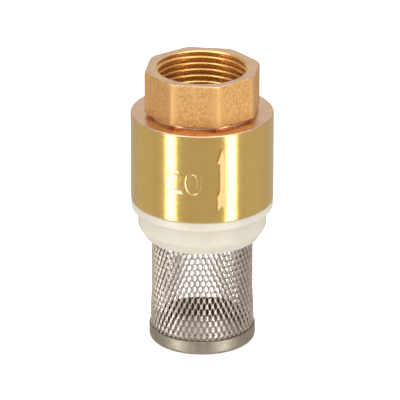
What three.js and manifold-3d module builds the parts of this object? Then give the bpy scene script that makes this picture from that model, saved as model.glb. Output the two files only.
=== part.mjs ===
// Spring-loaded foot valve for the bottom of a suction pipe, size DN 20 (G 3/4).
//
// Water enters through the strainer, lifts the poppet off its seat against a light spring, and leaves
// through the threaded socket at the top. When the pump stops, spring and weight close the poppet.
//
// Millimetres, +Z up along the valve's axis, origin at the centre of the strainer cup's underside.

import * as THREE from "three";
import { mergeVertices } from "three/addons/utils/BufferGeometryUtils.js";
import Module from "manifold-3d";

const wasm = await Module();
wasm.setup();

// ---------------------------------------------------------------- driving dimensions

const SEGMENTS = 32; // sides of every turned piece, all in phase, so that clearances stay even
const SLIP = 0.1; // gap between pieces that are pressed or clamped together
const GUIDE_CLEARANCE = 0.15; // radial gap between a stem and its guide

const HEIGHT = 80.3;

// Brass body
const DRUM_R = 19.75;
const DRUM_BOTTOM = 42;
const DRUM_TOP = 67.5;
const DRUM_CHAMFER = 0.5;
const NECK_R = 14.6;
const OCTAGON_BOTTOM = 68.4;
const OCTAGON_FLATS = 30;
const TOP_FACE_R = 15.8; // the head's corners are turned off outside this radius
const TOP_CHAMFER_SLOPE = Math.tan(THREE.MathUtils.degToRad(30));
const CHAMBER_R = 16.2;
const CHAMBER_TOP = 61.1;
const CHAMBER_LEDGE_R = 14.4;
const OUTLET_R = 9.8;
const OUTLET_CONE_TOP = 65.3;
const SOCKET_FLOOR = 66.4;

// G 3/4 female pipe thread, 14 turns to the inch
const PIPE_PITCH = 25.4 / 14;
const PIPE_MAJOR_R = 26.441 / 2;
const PIPE_MINOR_R = 24.117 / 2;
const PIPE_RELIEF_R = 13.3;
const PIPE_RELIEF_HEIGHT = 1.9;
const PIPE_MOUTH_R = 12.65;

// Where the collar's spigot screws into the body, both sides drawn plain at the thread's middle
const JOINT_R = 17.4;
const JOINT_BOTTOM = 44.4;
const JOINT_TOP = 49.2;

// Nylon collar
const FLANGE_R = 19.65;
const FLANGE_BOTTOM = 39.2;
const BAND_R = 17.85;
const BAND_BOTTOM = 34.2;
const LIP_R = 16;
const LIP_BOTTOM = 31.2;
const SPIGOT_TOP = 48.9;
const SPIGOT_BORE_R = 14.4;
const SEAT_LEDGE = 39.9;
const INLET_R = 11.8;
const BASKET_SOCKET_R = 14.2;
const BASKET_SOCKET_TOP = 35.7;

// O-ring between collar and body
const O_RING_R = 17.05;
const O_RING_SECTION_R = 0.82;
const O_RING_Z = 42.95;
const O_RING_LAND_R = 16.2;
const O_RING_BORE_R = 17.9;

// Brass seat ring with the lower guide
const SEAT_BORE_R = 9.8;
const SEAT_TOP = 43.3;
const SEAT_LIP_TOP = 44.2;
const SEAT_LIP_R = 11;
const SEAT_ARM_BOTTOM = 37.8;
const SEAT_ARM_WIDTH = 1.9;
const SEAT_ARMS = 3;
const LOWER_HUB_R = 3.6;
const LOWER_HUB_BOTTOM = 36.1;
const LOWER_HUB_TOP = 39.9;
const SEAT_O_RING_SECTION_R = 0.6;
const SEAT_O_RING_Z = 41.6;
const SEAT_GROOVE_R = 13;
const SEAT_O_RING_R = SEAT_GROOVE_R + SEAT_O_RING_SECTION_R + 0.05;
const SEAT_GROOVE_HALF = 0.75;

// Poppet
const POPPET_LIFT = 5.5; // stroke, until the stem's collar meets the upper guide's hub
const STEM_R = 2;
const STEM_BOTTOM = 30.2;
const STEM_TOP = 62.6;
const STEM_COLLAR_R = 3.3;
const SEAL_BOTTOM = SEAT_LIP_TOP + 0.05;
const SEAL_THICKNESS = 1.7;
const SEAL_R = 12.4;
const SEAL_BORE_R = 5.9;
const PLATE_BOTTOM = SEAL_BOTTOM + SEAL_THICKNESS + 0.05;
const PLATE_R = 12.6;
const PLATE_THICKNESS = 1.7;
const PLATE_TOP = PLATE_BOTTOM + PLATE_THICKNESS;
const SPRING_BOSS_R = 4.4;
const SPRING_BOSS_HEIGHT = 1.7;
const BOSS_TOP = PLATE_TOP + SPRING_BOSS_HEIGHT;
const RETAINER_R = 8.9;
const RETAINER_THICKNESS = 1;
const RETAINER_TOP = SEAL_BOTTOM - 0.05;
const RETAINER_BOTTOM = RETAINER_TOP - RETAINER_THICKNESS;
const WASHER_R = 3.5;
const WASHER_THICKNESS = 0.6;
const NUT_FLATS = 7;
const NUT_HEIGHT = 2;

// Upper guide
const SPIDER_ARM_BOTTOM = 58.7;
const SPIDER_RING_BORE_R = 14.3;
const SPIDER_ARM_WIDTH = 1.9;
const SPIDER_ARMS = 4;
const UPPER_HUB_R = 3.6;
const UPPER_HUB_BOTTOM = BOSS_TOP + POPPET_LIFT + 0.2;
const UPPER_HUB_TOP = 63.4;
const SPRING_PAD_R = 6.2;
const SPRING_PAD_HEIGHT = 1.1;

// Spring
const WIRE_R = 0.38;
const SPRING_R = 5.1;
const SPRING_TURNS = 6;

// Strainer
const MESH_R = 14.1;
const SHEET = 0.45; // thickness of the stainless sheets
const MESH_BOTTOM = 0.8;
const MESH_TOP = 35.3;
const HOLES_AROUND = 16;
const HOLE_ROWS = 6;
const HOLE_FIRST_Z = 8.8;
const HOLE_STEP_Z = 3.95; // from one row to the next, which sits half a hole round
const HOLE_HALF_WIDTH = 1.95;
const HOLE_HALF_HEIGHT = 2.9;
const CUP_R = 14.8;
const CUP_RIM = 4.1;
const CUP_CORNER_R = 1.25;
const HOOP_R = MESH_R - SHEET - SLIP;
const LOWER_HOOP_TOP = 5.5;
const UPPER_HOOP_BOTTOM = 31.4;

// Flow arrow sunk into the drum
const ARROW_TURN = THREE.MathUtils.degToRad(24.2); // round from the front, towards +X
const ARROW_DEPTH = 0.25;
const ARROW_BOTTOM = 46.2;
const ARROW_TOP = 63.7;

// ---------------------------------------------------------------- shaping tools

// The solid of a closed geometry.
function solidOf(geometry) {
  const bare = geometry.index ? geometry.toNonIndexed() : geometry.clone();
  bare.deleteAttribute("normal");
  bare.deleteAttribute("uv");
  const merged = mergeVertices(bare, 1e-4);
  return new wasm.Manifold(
    new wasm.Mesh({
      numProp: 3,
      vertProperties: merged.attributes.position.array,
      triVerts: new Uint32Array(merged.index.array),
    }),
  );
}

// The geometry of a solid.
function geometryOf(solid) {
  const { vertProperties, triVerts, numProp } = solid.getMesh();
  const positions = new Float32Array(triVerts.length * 3);
  triVerts.forEach((vertex, i) => {
    positions.set(vertProperties.subarray(vertex * numProp, vertex * numProp + 3), i * 3);
  });
  const geometry = new THREE.BufferGeometry();
  geometry.setAttribute("position", new THREE.BufferAttribute(positions, 3));
  geometry.computeVertexNormals();
  return geometry;
}

// A turned piece: [radius, z] points, with the material on the left of the way along them.
function turned(points) {
  const profile = points.map(([r, z]) => new THREE.Vector2(r, z));
  return new THREE.LatheGeometry(profile, SEGMENTS).rotateX(Math.PI / 2);
}

// A turned ring, whose profile closes on itself.
function ring(points) {
  return turned([...points, points[0]]);
}

// A quarter circle of profile points, its angles in degrees counted from outwards to up.
function arc(r, z, radius, from, to, steps = 4) {
  return Array.from({ length: steps + 1 }, (_, i) => {
    const angle = THREE.MathUtils.degToRad(from + ((to - from) * i) / steps);
    return [r + radius * Math.cos(angle), z + radius * Math.sin(angle)];
  });
}

// One helical thread ridge: its half width is rootHalf at rootR and tipHalf at tipR.
function threadRidge({ rootR, tipR, rootHalf, tipHalf, pitch, from, to }) {
  const steps = Math.round(((to - from) / pitch) * SEGMENTS);
  const section = [
    [rootR, -rootHalf],
    [tipR, -tipHalf],
    [tipR, tipHalf],
    [rootR, rootHalf],
  ];
  const positions = [];
  for (let i = 0; i <= steps; i += 1) {
    const turn = (2 * Math.PI * i) / SEGMENTS;
    for (const [r, dz] of section) {
      positions.push(r * Math.sin(turn), -r * Math.cos(turn), from + (pitch * i) / SEGMENTS + dz);
    }
  }
  const n = section.length;
  const faces = [];
  for (let i = 0; i < steps; i += 1) {
    for (let j = 0; j < n; j += 1) {
      const a = i * n + j;
      const b = i * n + ((j + 1) % n);
      faces.push(a, a + n, b, b, a + n, b + n);
    }
  }
  const end = steps * n;
  faces.push(0, 1, 2, 0, 2, 3);
  faces.push(end, end + 2, end + 1, end, end + 3, end + 2);
  const geometry = new THREE.BufferGeometry();
  geometry.setAttribute("position", new THREE.Float32BufferAttribute(positions, 3));
  geometry.setIndex(faces);
  return solidOf(geometry);
}

// Straight arms from the axis out to a radius, evenly spaced, the first towards +X turned by firstTurn.
function arms(count, width, reach, bottom, top, firstTurn) {
  return Array.from({ length: count }, (_, i) => {
    const arm = new THREE.BoxGeometry(reach, width, top - bottom);
    arm.translate(reach / 2, 0, (bottom + top) / 2);
    arm.rotateZ(firstTurn + (2 * Math.PI * i) / count);
    return solidOf(arm);
  }).reduce((joined, arm) => joined.add(arm));
}

function namedMesh(name, geometry, material) {
  const mesh = new THREE.Mesh(geometry, material);
  mesh.name = name;
  return mesh;
}

// ---------------------------------------------------------------- materials

function finish(color, metalness, roughness) {
  return new THREE.MeshStandardMaterial({ color, metalness, roughness });
}

const brass = finish(0xc9a25a, 1, 0.28);
const stainless = finish(0xb8b0a6, 1, 0.3);
const darkSteel = finish(0x4a443f, 1, 0.4);
const nylon = finish(0xeeead8, 0, 0.45);
const acetal = finish(0xe4e2da, 0, 0.5);
const rubber = finish(0x1c1c1e, 0, 0.75);

// ---------------------------------------------------------------- brass body

// The octagonal head, its top corners turned off by a cone.
function octagonHead() {
  const cornerR = OCTAGON_FLATS / 2 / Math.cos(Math.PI / 8);
  const outline = new THREE.Shape(
    Array.from({ length: 8 }, (_, i) => {
      const turn = Math.PI / 8 + (Math.PI / 4) * i;
      return new THREE.Vector2(cornerR * Math.cos(turn), cornerR * Math.sin(turn));
    }),
  );
  const prism = new THREE.ExtrudeGeometry(outline, {
    depth: HEIGHT - OCTAGON_BOTTOM,
    bevelEnabled: false,
  });
  prism.translate(0, 0, OCTAGON_BOTTOM);
  const outerR = cornerR + 0.5;
  const turnedOff = turned([
    [0, OCTAGON_BOTTOM - 1],
    [outerR, OCTAGON_BOTTOM - 1],
    [outerR, HEIGHT - TOP_CHAMFER_SLOPE * (outerR - TOP_FACE_R)],
    [TOP_FACE_R, HEIGHT],
    [0, HEIGHT],
  ]);
  return solidOf(prism).intersect(solidOf(turnedOff));
}

// The drum and the neck that carries the head.
function drum() {
  return solidOf(
    turned([
      [0, DRUM_BOTTOM],
      [DRUM_R - DRUM_CHAMFER / 2, DRUM_BOTTOM],
      [DRUM_R, DRUM_BOTTOM + DRUM_CHAMFER / 2],
      [DRUM_R, DRUM_TOP - DRUM_CHAMFER],
      [DRUM_R - DRUM_CHAMFER, DRUM_TOP],
      [NECK_R, DRUM_TOP],
      [NECK_R, OCTAGON_BOTTOM + 0.5],
      [0, OCTAGON_BOTTOM + 0.5],
    ]),
  );
}

// Everything bored out of the body, from the collar's thread up to the pipe socket.
function bodyBore() {
  const reliefTop = SOCKET_FLOOR + PIPE_RELIEF_HEIGHT;
  const mouthDepth = PIPE_MOUTH_R - PIPE_MINOR_R;
  return solidOf(
    turned([
      [0, DRUM_BOTTOM - 1],
      [O_RING_BORE_R, DRUM_BOTTOM - 1],
      [O_RING_BORE_R, JOINT_BOTTOM],
      [JOINT_R, JOINT_BOTTOM + 0.55],
      [JOINT_R, JOINT_TOP],
      [CHAMBER_R, JOINT_TOP],
      [CHAMBER_R, CHAMBER_TOP],
      [CHAMBER_LEDGE_R, CHAMBER_TOP],
      [OUTLET_R, OUTLET_CONE_TOP],
      [OUTLET_R, SOCKET_FLOOR],
      [PIPE_RELIEF_R, SOCKET_FLOOR],
      [PIPE_RELIEF_R, reliefTop],
      [PIPE_MINOR_R, reliefTop + 0.8],
      [PIPE_MINOR_R, HEIGHT - mouthDepth],
      [PIPE_MOUTH_R, HEIGHT],
      [PIPE_MOUTH_R, HEIGHT + 1],
      [0, HEIGHT + 1],
    ]),
  );
}

// The groove of the pipe thread, cut outwards from the socket's bore.
function pipeThreadGroove() {
  const flank = Math.tan(THREE.MathUtils.degToRad(27.5));
  const tipHalf = 0.15;
  const rootR = PIPE_MINOR_R - 0.2;
  return threadRidge({
    rootR,
    tipR: PIPE_MAJOR_R,
    rootHalf: tipHalf + (PIPE_MAJOR_R - rootR) * flank,
    tipHalf,
    pitch: PIPE_PITCH,
    from: SOCKET_FLOOR + 1.1,
    to: HEIGHT + 0.4,
  });
}

// An arrow with a notched tail, pointing the way the water flows.
function arrowRecess() {
  const headHalf = 1.4;
  const shaftHalf = 0.65;
  const headBottom = ARROW_TOP - 3.9;
  const tailTop = ARROW_BOTTOM + 4.6;
  const outline = new THREE.Shape(
    [
      [0, ARROW_TOP],
      [-headHalf, headBottom],
      [-shaftHalf, headBottom],
      [-shaftHalf, tailTop + 1],
      [-headHalf, tailTop],
      [-headHalf, ARROW_BOTTOM],
      [0, ARROW_BOTTOM + 1.4],
      [headHalf, ARROW_BOTTOM],
      [headHalf, tailTop],
      [shaftHalf, tailTop + 1],
      [shaftHalf, headBottom],
      [headHalf, headBottom],
    ].map(([x, y]) => new THREE.Vector2(x, y)),
  );
  const block = new THREE.ExtrudeGeometry(outline, { depth: 2, bevelEnabled: false });
  block.rotateX(Math.PI / 2).translate(0, -(DRUM_R - ARROW_DEPTH), 0);
  return solidOf(block.rotateZ(ARROW_TURN));
}

function valveBody() {
  return octagonHead()
    .add(drum())
    .subtract(bodyBore())
    .subtract(pipeThreadGroove())
    .subtract(arrowRecess());
}

// ---------------------------------------------------------------- nylon collar and its seal

function strainerCollar() {
  const spigotR = JOINT_R - SLIP;
  return ring([
    [BASKET_SOCKET_R, LIP_BOTTOM],
    [LIP_R, LIP_BOTTOM],
    [BAND_R, BAND_BOTTOM],
    [BAND_R, FLANGE_BOTTOM],
    [FLANGE_R - 0.3, FLANGE_BOTTOM],
    [FLANGE_R, FLANGE_BOTTOM + 0.3],
    [FLANGE_R, DRUM_BOTTOM - SLIP],
    [O_RING_LAND_R, DRUM_BOTTOM - SLIP],
    [O_RING_LAND_R, JOINT_BOTTOM - 0.4],
    [spigotR, JOINT_BOTTOM + 0.7],
    [spigotR, SPIGOT_TOP - 0.5],
    [spigotR - 0.5, SPIGOT_TOP],
    [SPIGOT_BORE_R, SPIGOT_TOP],
    [SPIGOT_BORE_R, SEAT_LEDGE],
    [INLET_R, SEAT_LEDGE],
    [INLET_R, BASKET_SOCKET_TOP],
    [BASKET_SOCKET_R, BASKET_SOCKET_TOP],
  ]);
}

function oRing(r, z, sectionR) {
  return ring(arc(r, z, sectionR, -180, 180, 8).slice(0, -1));
}

// ---------------------------------------------------------------- seat ring with the lower guide

function seatRing() {
  const outerR = SPIGOT_BORE_R - SLIP;
  const bottom = SEAT_LEDGE + SLIP;
  const grooveBottom = SEAT_O_RING_Z - SEAT_GROOVE_HALF;
  const grooveTop = SEAT_O_RING_Z + SEAT_GROOVE_HALF;
  const seat = ring([
    [SEAT_BORE_R, bottom],
    [outerR, bottom],
    [outerR, grooveBottom],
    [SEAT_GROOVE_R, grooveBottom],
    [SEAT_GROOVE_R, grooveTop],
    [outerR, grooveTop],
    [outerR, SEAT_TOP],
    [SEAT_LIP_R + 0.4, SEAT_TOP],
    [SEAT_LIP_R, SEAT_LIP_TOP],
    [SEAT_LIP_R - 0.6, SEAT_LIP_TOP],
    [SEAT_BORE_R, SEAT_LIP_TOP - 0.5],
  ]);
  const hub = turned([
    [0, LOWER_HUB_BOTTOM],
    [LOWER_HUB_R - 0.8, LOWER_HUB_BOTTOM],
    [LOWER_HUB_R, LOWER_HUB_BOTTOM + 1.2],
    [LOWER_HUB_R, LOWER_HUB_TOP],
    [0, LOWER_HUB_TOP],
  ]);
  const guideArms = arms(
    SEAT_ARMS, SEAT_ARM_WIDTH, SEAT_BORE_R + 1.2, SEAT_ARM_BOTTOM, bottom + 0.7, Math.PI / 2,
  ).subtract(solidOf(turned([
    [0, LOWER_HUB_TOP - 0.1],
    [SEAT_BORE_R - 0.3, LOWER_HUB_TOP - 0.1],
    [SEAT_BORE_R - 0.3, SEAT_TOP],
    [0, SEAT_TOP],
  ])));
  return solidOf(seat)
    .add(guideArms)
    .add(solidOf(hub))
    .subtract(stemHole(LOWER_HUB_BOTTOM - 1, LOWER_HUB_TOP + 1));
}

function stemHole(bottom, top) {
  const r = STEM_R + GUIDE_CLEARANCE;
  return solidOf(turned([[0, bottom], [r, bottom], [r, top], [0, top]]));
}

// ---------------------------------------------------------------- poppet

// A stainless rod, with a collar that bears on the plate.
function poppetStem() {
  return turned([
    [0, STEM_BOTTOM],
    [STEM_R - 0.4, STEM_BOTTOM],
    [STEM_R, STEM_BOTTOM + 0.4],
    [STEM_R, PLATE_TOP + SLIP],
    [STEM_COLLAR_R, PLATE_TOP + SLIP],
    [STEM_COLLAR_R, BOSS_TOP],
    [STEM_R, BOSS_TOP],
    [STEM_R, STEM_TOP - 0.4],
    [STEM_R - 0.4, STEM_TOP],
    [0, STEM_TOP],
  ]);
}

// The plate that the spring presses on, with a raised ring that centres the spring.
function poppetPlate() {
  const bossBoreR = STEM_COLLAR_R + SLIP;
  return ring([
    [STEM_R + SLIP, PLATE_BOTTOM],
    [PLATE_R - 0.3, PLATE_BOTTOM],
    [PLATE_R, PLATE_BOTTOM + 0.3],
    [PLATE_R, PLATE_BOTTOM + 1.2],
    [PLATE_R - 1.2, PLATE_TOP],
    [SPRING_BOSS_R, PLATE_TOP],
    [SPRING_BOSS_R, BOSS_TOP - 0.3],
    [SPRING_BOSS_R - 0.3, BOSS_TOP],
    [bossBoreR, BOSS_TOP],
    [bossBoreR, PLATE_TOP],
    [STEM_R + SLIP, PLATE_TOP],
  ]);
}

function poppetSeal() {
  return ring([
    [SEAL_BORE_R, SEAL_BOTTOM],
    [SEAL_R - 0.3, SEAL_BOTTOM],
    [SEAL_R, SEAL_BOTTOM + 0.3],
    [SEAL_R, SEAL_BOTTOM + SEAL_THICKNESS],
    [SEAL_BORE_R, SEAL_BOTTOM + SEAL_THICKNESS],
  ]);
}

// The disc that clamps the seal up against the plate, with a boss through the seal's bore.
function poppetRetainer() {
  const bossR = SEAL_BORE_R - SLIP;
  const bossTop = PLATE_BOTTOM - SLIP;
  return ring([
    [STEM_R + SLIP, RETAINER_BOTTOM],
    [RETAINER_R - 0.4, RETAINER_BOTTOM],
    [RETAINER_R, RETAINER_BOTTOM + 0.4],
    [RETAINER_R, RETAINER_TOP],
    [bossR, RETAINER_TOP],
    [bossR, bossTop],
    [STEM_R + SLIP, bossTop],
  ]);
}

function lockWasher() {
  const top = RETAINER_BOTTOM - SLIP;
  return ring([
    [STEM_R + SLIP, top - WASHER_THICKNESS],
    [WASHER_R, top - WASHER_THICKNESS],
    [WASHER_R, top],
    [STEM_R + SLIP, top],
  ]);
}

function stemNut() {
  const top = RETAINER_BOTTOM - WASHER_THICKNESS - 2 * SLIP;
  const hexagon = new THREE.CylinderGeometry(1, 1, NUT_HEIGHT, 6).rotateX(Math.PI / 2);
  const cornerR = NUT_FLATS / 2 / Math.cos(Math.PI / 6);
  hexagon.scale(cornerR, cornerR, 1).translate(0, 0, top - NUT_HEIGHT / 2);
  const hole = turned([
    [0, top - NUT_HEIGHT - 1],
    [STEM_R + SLIP, top - NUT_HEIGHT - 1],
    [STEM_R + SLIP, top + 1],
    [0, top + 1],
  ]);
  return solidOf(hexagon).subtract(solidOf(hole));
}

// ---------------------------------------------------------------- upper guide

function guideSpider() {
  const outerR = CHAMBER_R - SLIP;
  const top = CHAMBER_TOP - SLIP;
  const rim = ring([
    [SPIDER_RING_BORE_R, SPIDER_ARM_BOTTOM],
    [outerR, SPIDER_ARM_BOTTOM],
    [outerR, top],
    [SPIDER_RING_BORE_R, top],
  ]);
  const hub = turned([
    [0, UPPER_HUB_BOTTOM],
    [UPPER_HUB_R, UPPER_HUB_BOTTOM],
    [UPPER_HUB_R, SPIDER_ARM_BOTTOM],
    [SPRING_PAD_R, SPIDER_ARM_BOTTOM],
    [SPRING_PAD_R, SPIDER_ARM_BOTTOM + SPRING_PAD_HEIGHT],
    [UPPER_HUB_R, SPIDER_ARM_BOTTOM + SPRING_PAD_HEIGHT],
    [UPPER_HUB_R, UPPER_HUB_TOP - 0.8],
    [UPPER_HUB_R - 0.8, UPPER_HUB_TOP],
    [0, UPPER_HUB_TOP],
  ]);
  const ribs = arms(
    SPIDER_ARMS, SPIDER_ARM_WIDTH, SPIDER_RING_BORE_R + 1, SPIDER_ARM_BOTTOM + 0.05, top - 0.1, Math.PI / 4,
  );
  return solidOf(rim)
    .add(ribs)
    .add(solidOf(hub))
    .subtract(stemHole(UPPER_HUB_BOTTOM - 1, UPPER_HUB_TOP + 1));
}

// ---------------------------------------------------------------- spring

// A compression spring's centreline, with one close dead coil at each end.
class SpringLine extends THREE.Curve {
  constructor(bottom, top) {
    super();
    this.bottom = bottom;
    this.top = top;
  }

  getPoint(t, target = new THREE.Vector3()) {
    const turns = SPRING_TURNS * t;
    const deadRise = 2 * WIRE_R;
    const openTurns = SPRING_TURNS - 2;
    const openRise = this.top - this.bottom - 2 * deadRise;
    const open = THREE.MathUtils.clamp((turns - 1) / openTurns, 0, 1);
    const dead = Math.min(turns, 1) + Math.max(turns - SPRING_TURNS + 1, 0);
    const z = this.bottom + deadRise * dead + openRise * open;
    const turn = 2 * Math.PI * turns;
    return target.set(SPRING_R * Math.cos(turn), SPRING_R * Math.sin(turn), z);
  }
}

function returnSpring() {
  const wire = new THREE.Shape();
  wire.absarc(0, 0, WIRE_R, 0, 2 * Math.PI);
  const bottom = PLATE_TOP + WIRE_R + 0.05;
  const top = SPIDER_ARM_BOTTOM - WIRE_R - 0.05;
  return new THREE.ExtrudeGeometry(wire, {
    extrudePath: new SpringLine(bottom, top),
    steps: SPRING_TURNS * 14,
    curveSegments: 3,
    bevelEnabled: false,
  });
}

// ---------------------------------------------------------------- strainer

// The expanded-metal sleeve, with plain bands at both ends where the hoops hold it.
function strainerMesh() {
  const sleeve = ring([
    [MESH_R - SHEET, MESH_BOTTOM],
    [MESH_R, MESH_BOTTOM],
    [MESH_R, MESH_TOP],
    [MESH_R - SHEET, MESH_TOP],
  ]);
  const holes = [];
  for (let row = 0; row < HOLE_ROWS; row += 1) {
    for (let i = 0; i < HOLES_AROUND; i += 1) {
      const turn = (2 * Math.PI * (i + (row % 2) / 2)) / HOLES_AROUND;
      const hole = new THREE.CylinderGeometry(1, 1, 4, 4);
      hole.scale(HOLE_HALF_WIDTH, 1, HOLE_HALF_HEIGHT);
      hole.translate(0, -MESH_R, HOLE_FIRST_Z + HOLE_STEP_Z * row).rotateZ(turn);
      holes.push(solidOf(hole));
    }
  }
  return holes.reduce((wall, hole) => wall.subtract(hole), solidOf(sleeve));
}

function strainerCup() {
  const innerCornerR = CUP_CORNER_R - SHEET;
  return turned([
    [0, 0],
    ...arc(CUP_R - CUP_CORNER_R, CUP_CORNER_R, CUP_CORNER_R, -90, 0),
    [CUP_R, CUP_RIM - 0.15],
    [CUP_R - 0.15, CUP_RIM],
    [CUP_R - SHEET, CUP_RIM],
    ...arc(CUP_R - CUP_CORNER_R, CUP_CORNER_R, innerCornerR, 0, -90),
    [0, SHEET],
  ]);
}

// A flat hoop inside the sleeve, at the cup's height.
function lowerHoop() {
  return ring([
    [HOOP_R - SHEET, MESH_BOTTOM],
    [HOOP_R, MESH_BOTTOM],
    [HOOP_R, LOWER_HOOP_TOP],
    [HOOP_R - SHEET, LOWER_HOOP_TOP],
  ]);
}

// The upper hoop turns outwards over the sleeve's edge.
function upperHoop() {
  const under = MESH_TOP + 0.05;
  const top = BASKET_SOCKET_TOP - 0.05;
  return ring([
    [HOOP_R - SHEET, UPPER_HOOP_BOTTOM],
    [HOOP_R, UPPER_HOOP_BOTTOM],
    [HOOP_R, under],
    [MESH_R, under],
    [MESH_R, top],
    [HOOP_R - SHEET, top],
  ]);
}

// ---------------------------------------------------------------- assembly

const footValve = new THREE.Group();

const housing = new THREE.Group();
housing.add(
  namedMesh("valve_body", geometryOf(valveBody()), brass),
  namedMesh("guide_spider", geometryOf(guideSpider()), acetal),
  namedMesh("strainer_collar", strainerCollar(), nylon),
  namedMesh("collar_o_ring", oRing(O_RING_R, O_RING_Z, O_RING_SECTION_R), rubber),
  namedMesh("seat_ring", geometryOf(seatRing()), brass),
  namedMesh("seat_o_ring", oRing(SEAT_O_RING_R, SEAT_O_RING_Z, SEAT_O_RING_SECTION_R), rubber),
);

const poppet = new THREE.Group();
poppet.add(
  namedMesh("poppet_stem", poppetStem(), stainless),
  namedMesh("poppet_plate", poppetPlate(), acetal),
  namedMesh("poppet_seal", poppetSeal(), rubber),
  namedMesh("poppet_retainer", poppetRetainer(), stainless),
  namedMesh("lock_washer", lockWasher(), stainless),
  namedMesh("stem_nut", geometryOf(stemNut()), stainless),
);

const strainer = new THREE.Group();
strainer.add(
  namedMesh("strainer_mesh", geometryOf(strainerMesh()), stainless),
  namedMesh("strainer_cup", strainerCup(), stainless),
  namedMesh("lower_hoop", lowerHoop(), darkSteel),
  namedMesh("upper_hoop", upperHoop(), darkSteel),
);

footValve.add(housing, poppet, strainer, namedMesh("return_spring", returnSpring(), stainless));

export default footValve;
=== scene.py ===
"""A brass foot valve of size DN 20 standing on a pale floor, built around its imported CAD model.

Every visible piece is a fine mesh made here, in the place and at the size of the CAD node that it stands for.
Lengths in the shape code are millimetres in the row frame, and one function turns them into metres.
"""

import math

import bmesh
import bpy
from mathutils import Matrix, Vector


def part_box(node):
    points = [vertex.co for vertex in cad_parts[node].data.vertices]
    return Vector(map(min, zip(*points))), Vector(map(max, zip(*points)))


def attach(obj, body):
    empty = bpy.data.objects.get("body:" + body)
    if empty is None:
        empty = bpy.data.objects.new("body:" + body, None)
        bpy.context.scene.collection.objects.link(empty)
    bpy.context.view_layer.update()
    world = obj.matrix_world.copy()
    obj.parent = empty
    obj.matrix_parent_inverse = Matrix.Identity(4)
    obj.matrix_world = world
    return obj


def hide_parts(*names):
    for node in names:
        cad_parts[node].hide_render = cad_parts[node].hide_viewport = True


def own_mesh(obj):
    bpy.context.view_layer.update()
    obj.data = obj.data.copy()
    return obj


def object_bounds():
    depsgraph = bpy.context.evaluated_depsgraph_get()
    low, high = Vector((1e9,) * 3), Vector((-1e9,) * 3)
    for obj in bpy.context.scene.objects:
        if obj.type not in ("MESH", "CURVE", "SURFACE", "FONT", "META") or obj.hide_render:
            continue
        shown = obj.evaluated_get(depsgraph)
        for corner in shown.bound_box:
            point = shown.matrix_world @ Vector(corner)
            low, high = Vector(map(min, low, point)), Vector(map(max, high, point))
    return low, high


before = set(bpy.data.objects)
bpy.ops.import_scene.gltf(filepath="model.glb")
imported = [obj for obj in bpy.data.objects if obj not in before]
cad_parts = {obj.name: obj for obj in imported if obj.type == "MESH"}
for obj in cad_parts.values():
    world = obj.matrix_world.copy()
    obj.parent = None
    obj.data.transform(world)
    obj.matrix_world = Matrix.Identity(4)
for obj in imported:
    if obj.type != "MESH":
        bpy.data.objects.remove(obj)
CAD_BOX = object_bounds()

MM = 0.001
ROUND = 160  # sides of a turned piece
SMOOTH_BELOW = math.radians(32)  # edges flatter than this are shaded smooth


def cad_box(node):
    """Lowest and highest corner of a CAD node, in millimetres."""
    low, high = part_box(node)
    return low / MM, high / MM


# ---------------------------------------------------------------- sizes from the frame

BODY_LOW, BODY_HIGH = cad_box("valve_body")
COLLAR_LOW, COLLAR_HIGH = cad_box("strainer_collar")
MESH_LOW, MESH_HIGH = cad_box("strainer_mesh")
CUP_HIGH = cad_box("strainer_cup")[1]
SPIDER_LOW, SPIDER_HIGH = cad_box("guide_spider")
SEAT_LOW, SEAT_HIGH = cad_box("seat_ring")
STEM_LOW, STEM_HIGH = cad_box("poppet_stem")
PLATE_LOW, PLATE_HIGH = cad_box("poppet_plate")
SEAL_LOW, SEAL_HIGH = cad_box("poppet_seal")
RETAINER_LOW, RETAINER_HIGH = cad_box("poppet_retainer")
WASHER_LOW, WASHER_HIGH = cad_box("lock_washer")
NUT_LOW, NUT_HIGH = cad_box("stem_nut")
SPRING_LOW, SPRING_HIGH = cad_box("return_spring")

# Brass body
DRUM_R = BODY_HIGH.x
DRUM_BOTTOM = BODY_LOW.z
DRUM_TOP = 67.5
TOP = BODY_HIGH.z
NECK_R = 14.6
OCTAGON_BOTTOM = 68.4
OCTAGON_FLATS = 30.4
OCTAGON_CORNER_ROUND = 2.2
TOP_FACE_R = 15.7
TOP_EDGE_ROUND = 0.4
TOP_EDGE_STEPS = 5
TOP_CHAMFER_SLOPE = math.tan(math.radians(30))
CHAMBER_R = 16.2
CHAMBER_TOP = 61.1
OUTLET_R = 9.8
SOCKET_FLOOR = 66.4

# G 3/4 female pipe thread
PIPE_PITCH = 25.4 / 14
PIPE_MAJOR_R = 26.441 / 2
PIPE_MINOR_R = 24.117 / 2
PIPE_RELIEF_R = 13.3
PIPE_MOUTH_R = 12.65

# Strainer
SHEET = 0.45
MESH_R = MESH_HIGH.x
CUP_R = CUP_HIGH.x
CUP_RIM = CUP_HIGH.z


# ---------------------------------------------------------------- shaping tools


def add_object(name, bm, materials, smooth=True):
    """A scene object from a bmesh in millimetres."""
    bmesh.ops.remove_doubles(bm, verts=bm.verts, dist=1e-5)
    bmesh.ops.dissolve_degenerate(bm, edges=bm.edges, dist=1e-6)
    bmesh.ops.recalc_face_normals(bm, faces=bm.faces)
    bmesh.ops.scale(bm, vec=(MM, MM, MM), verts=bm.verts)
    mesh = bpy.data.meshes.new(name)
    bm.to_mesh(mesh)
    bm.free()
    for material in materials:
        mesh.materials.append(material)
    if smooth:
        mesh.shade_smooth()
        mesh.set_sharp_from_angle(angle=SMOOTH_BELOW)
    obj = bpy.data.objects.new(name, mesh)
    bpy.context.scene.collection.objects.link(obj)
    return obj


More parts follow.
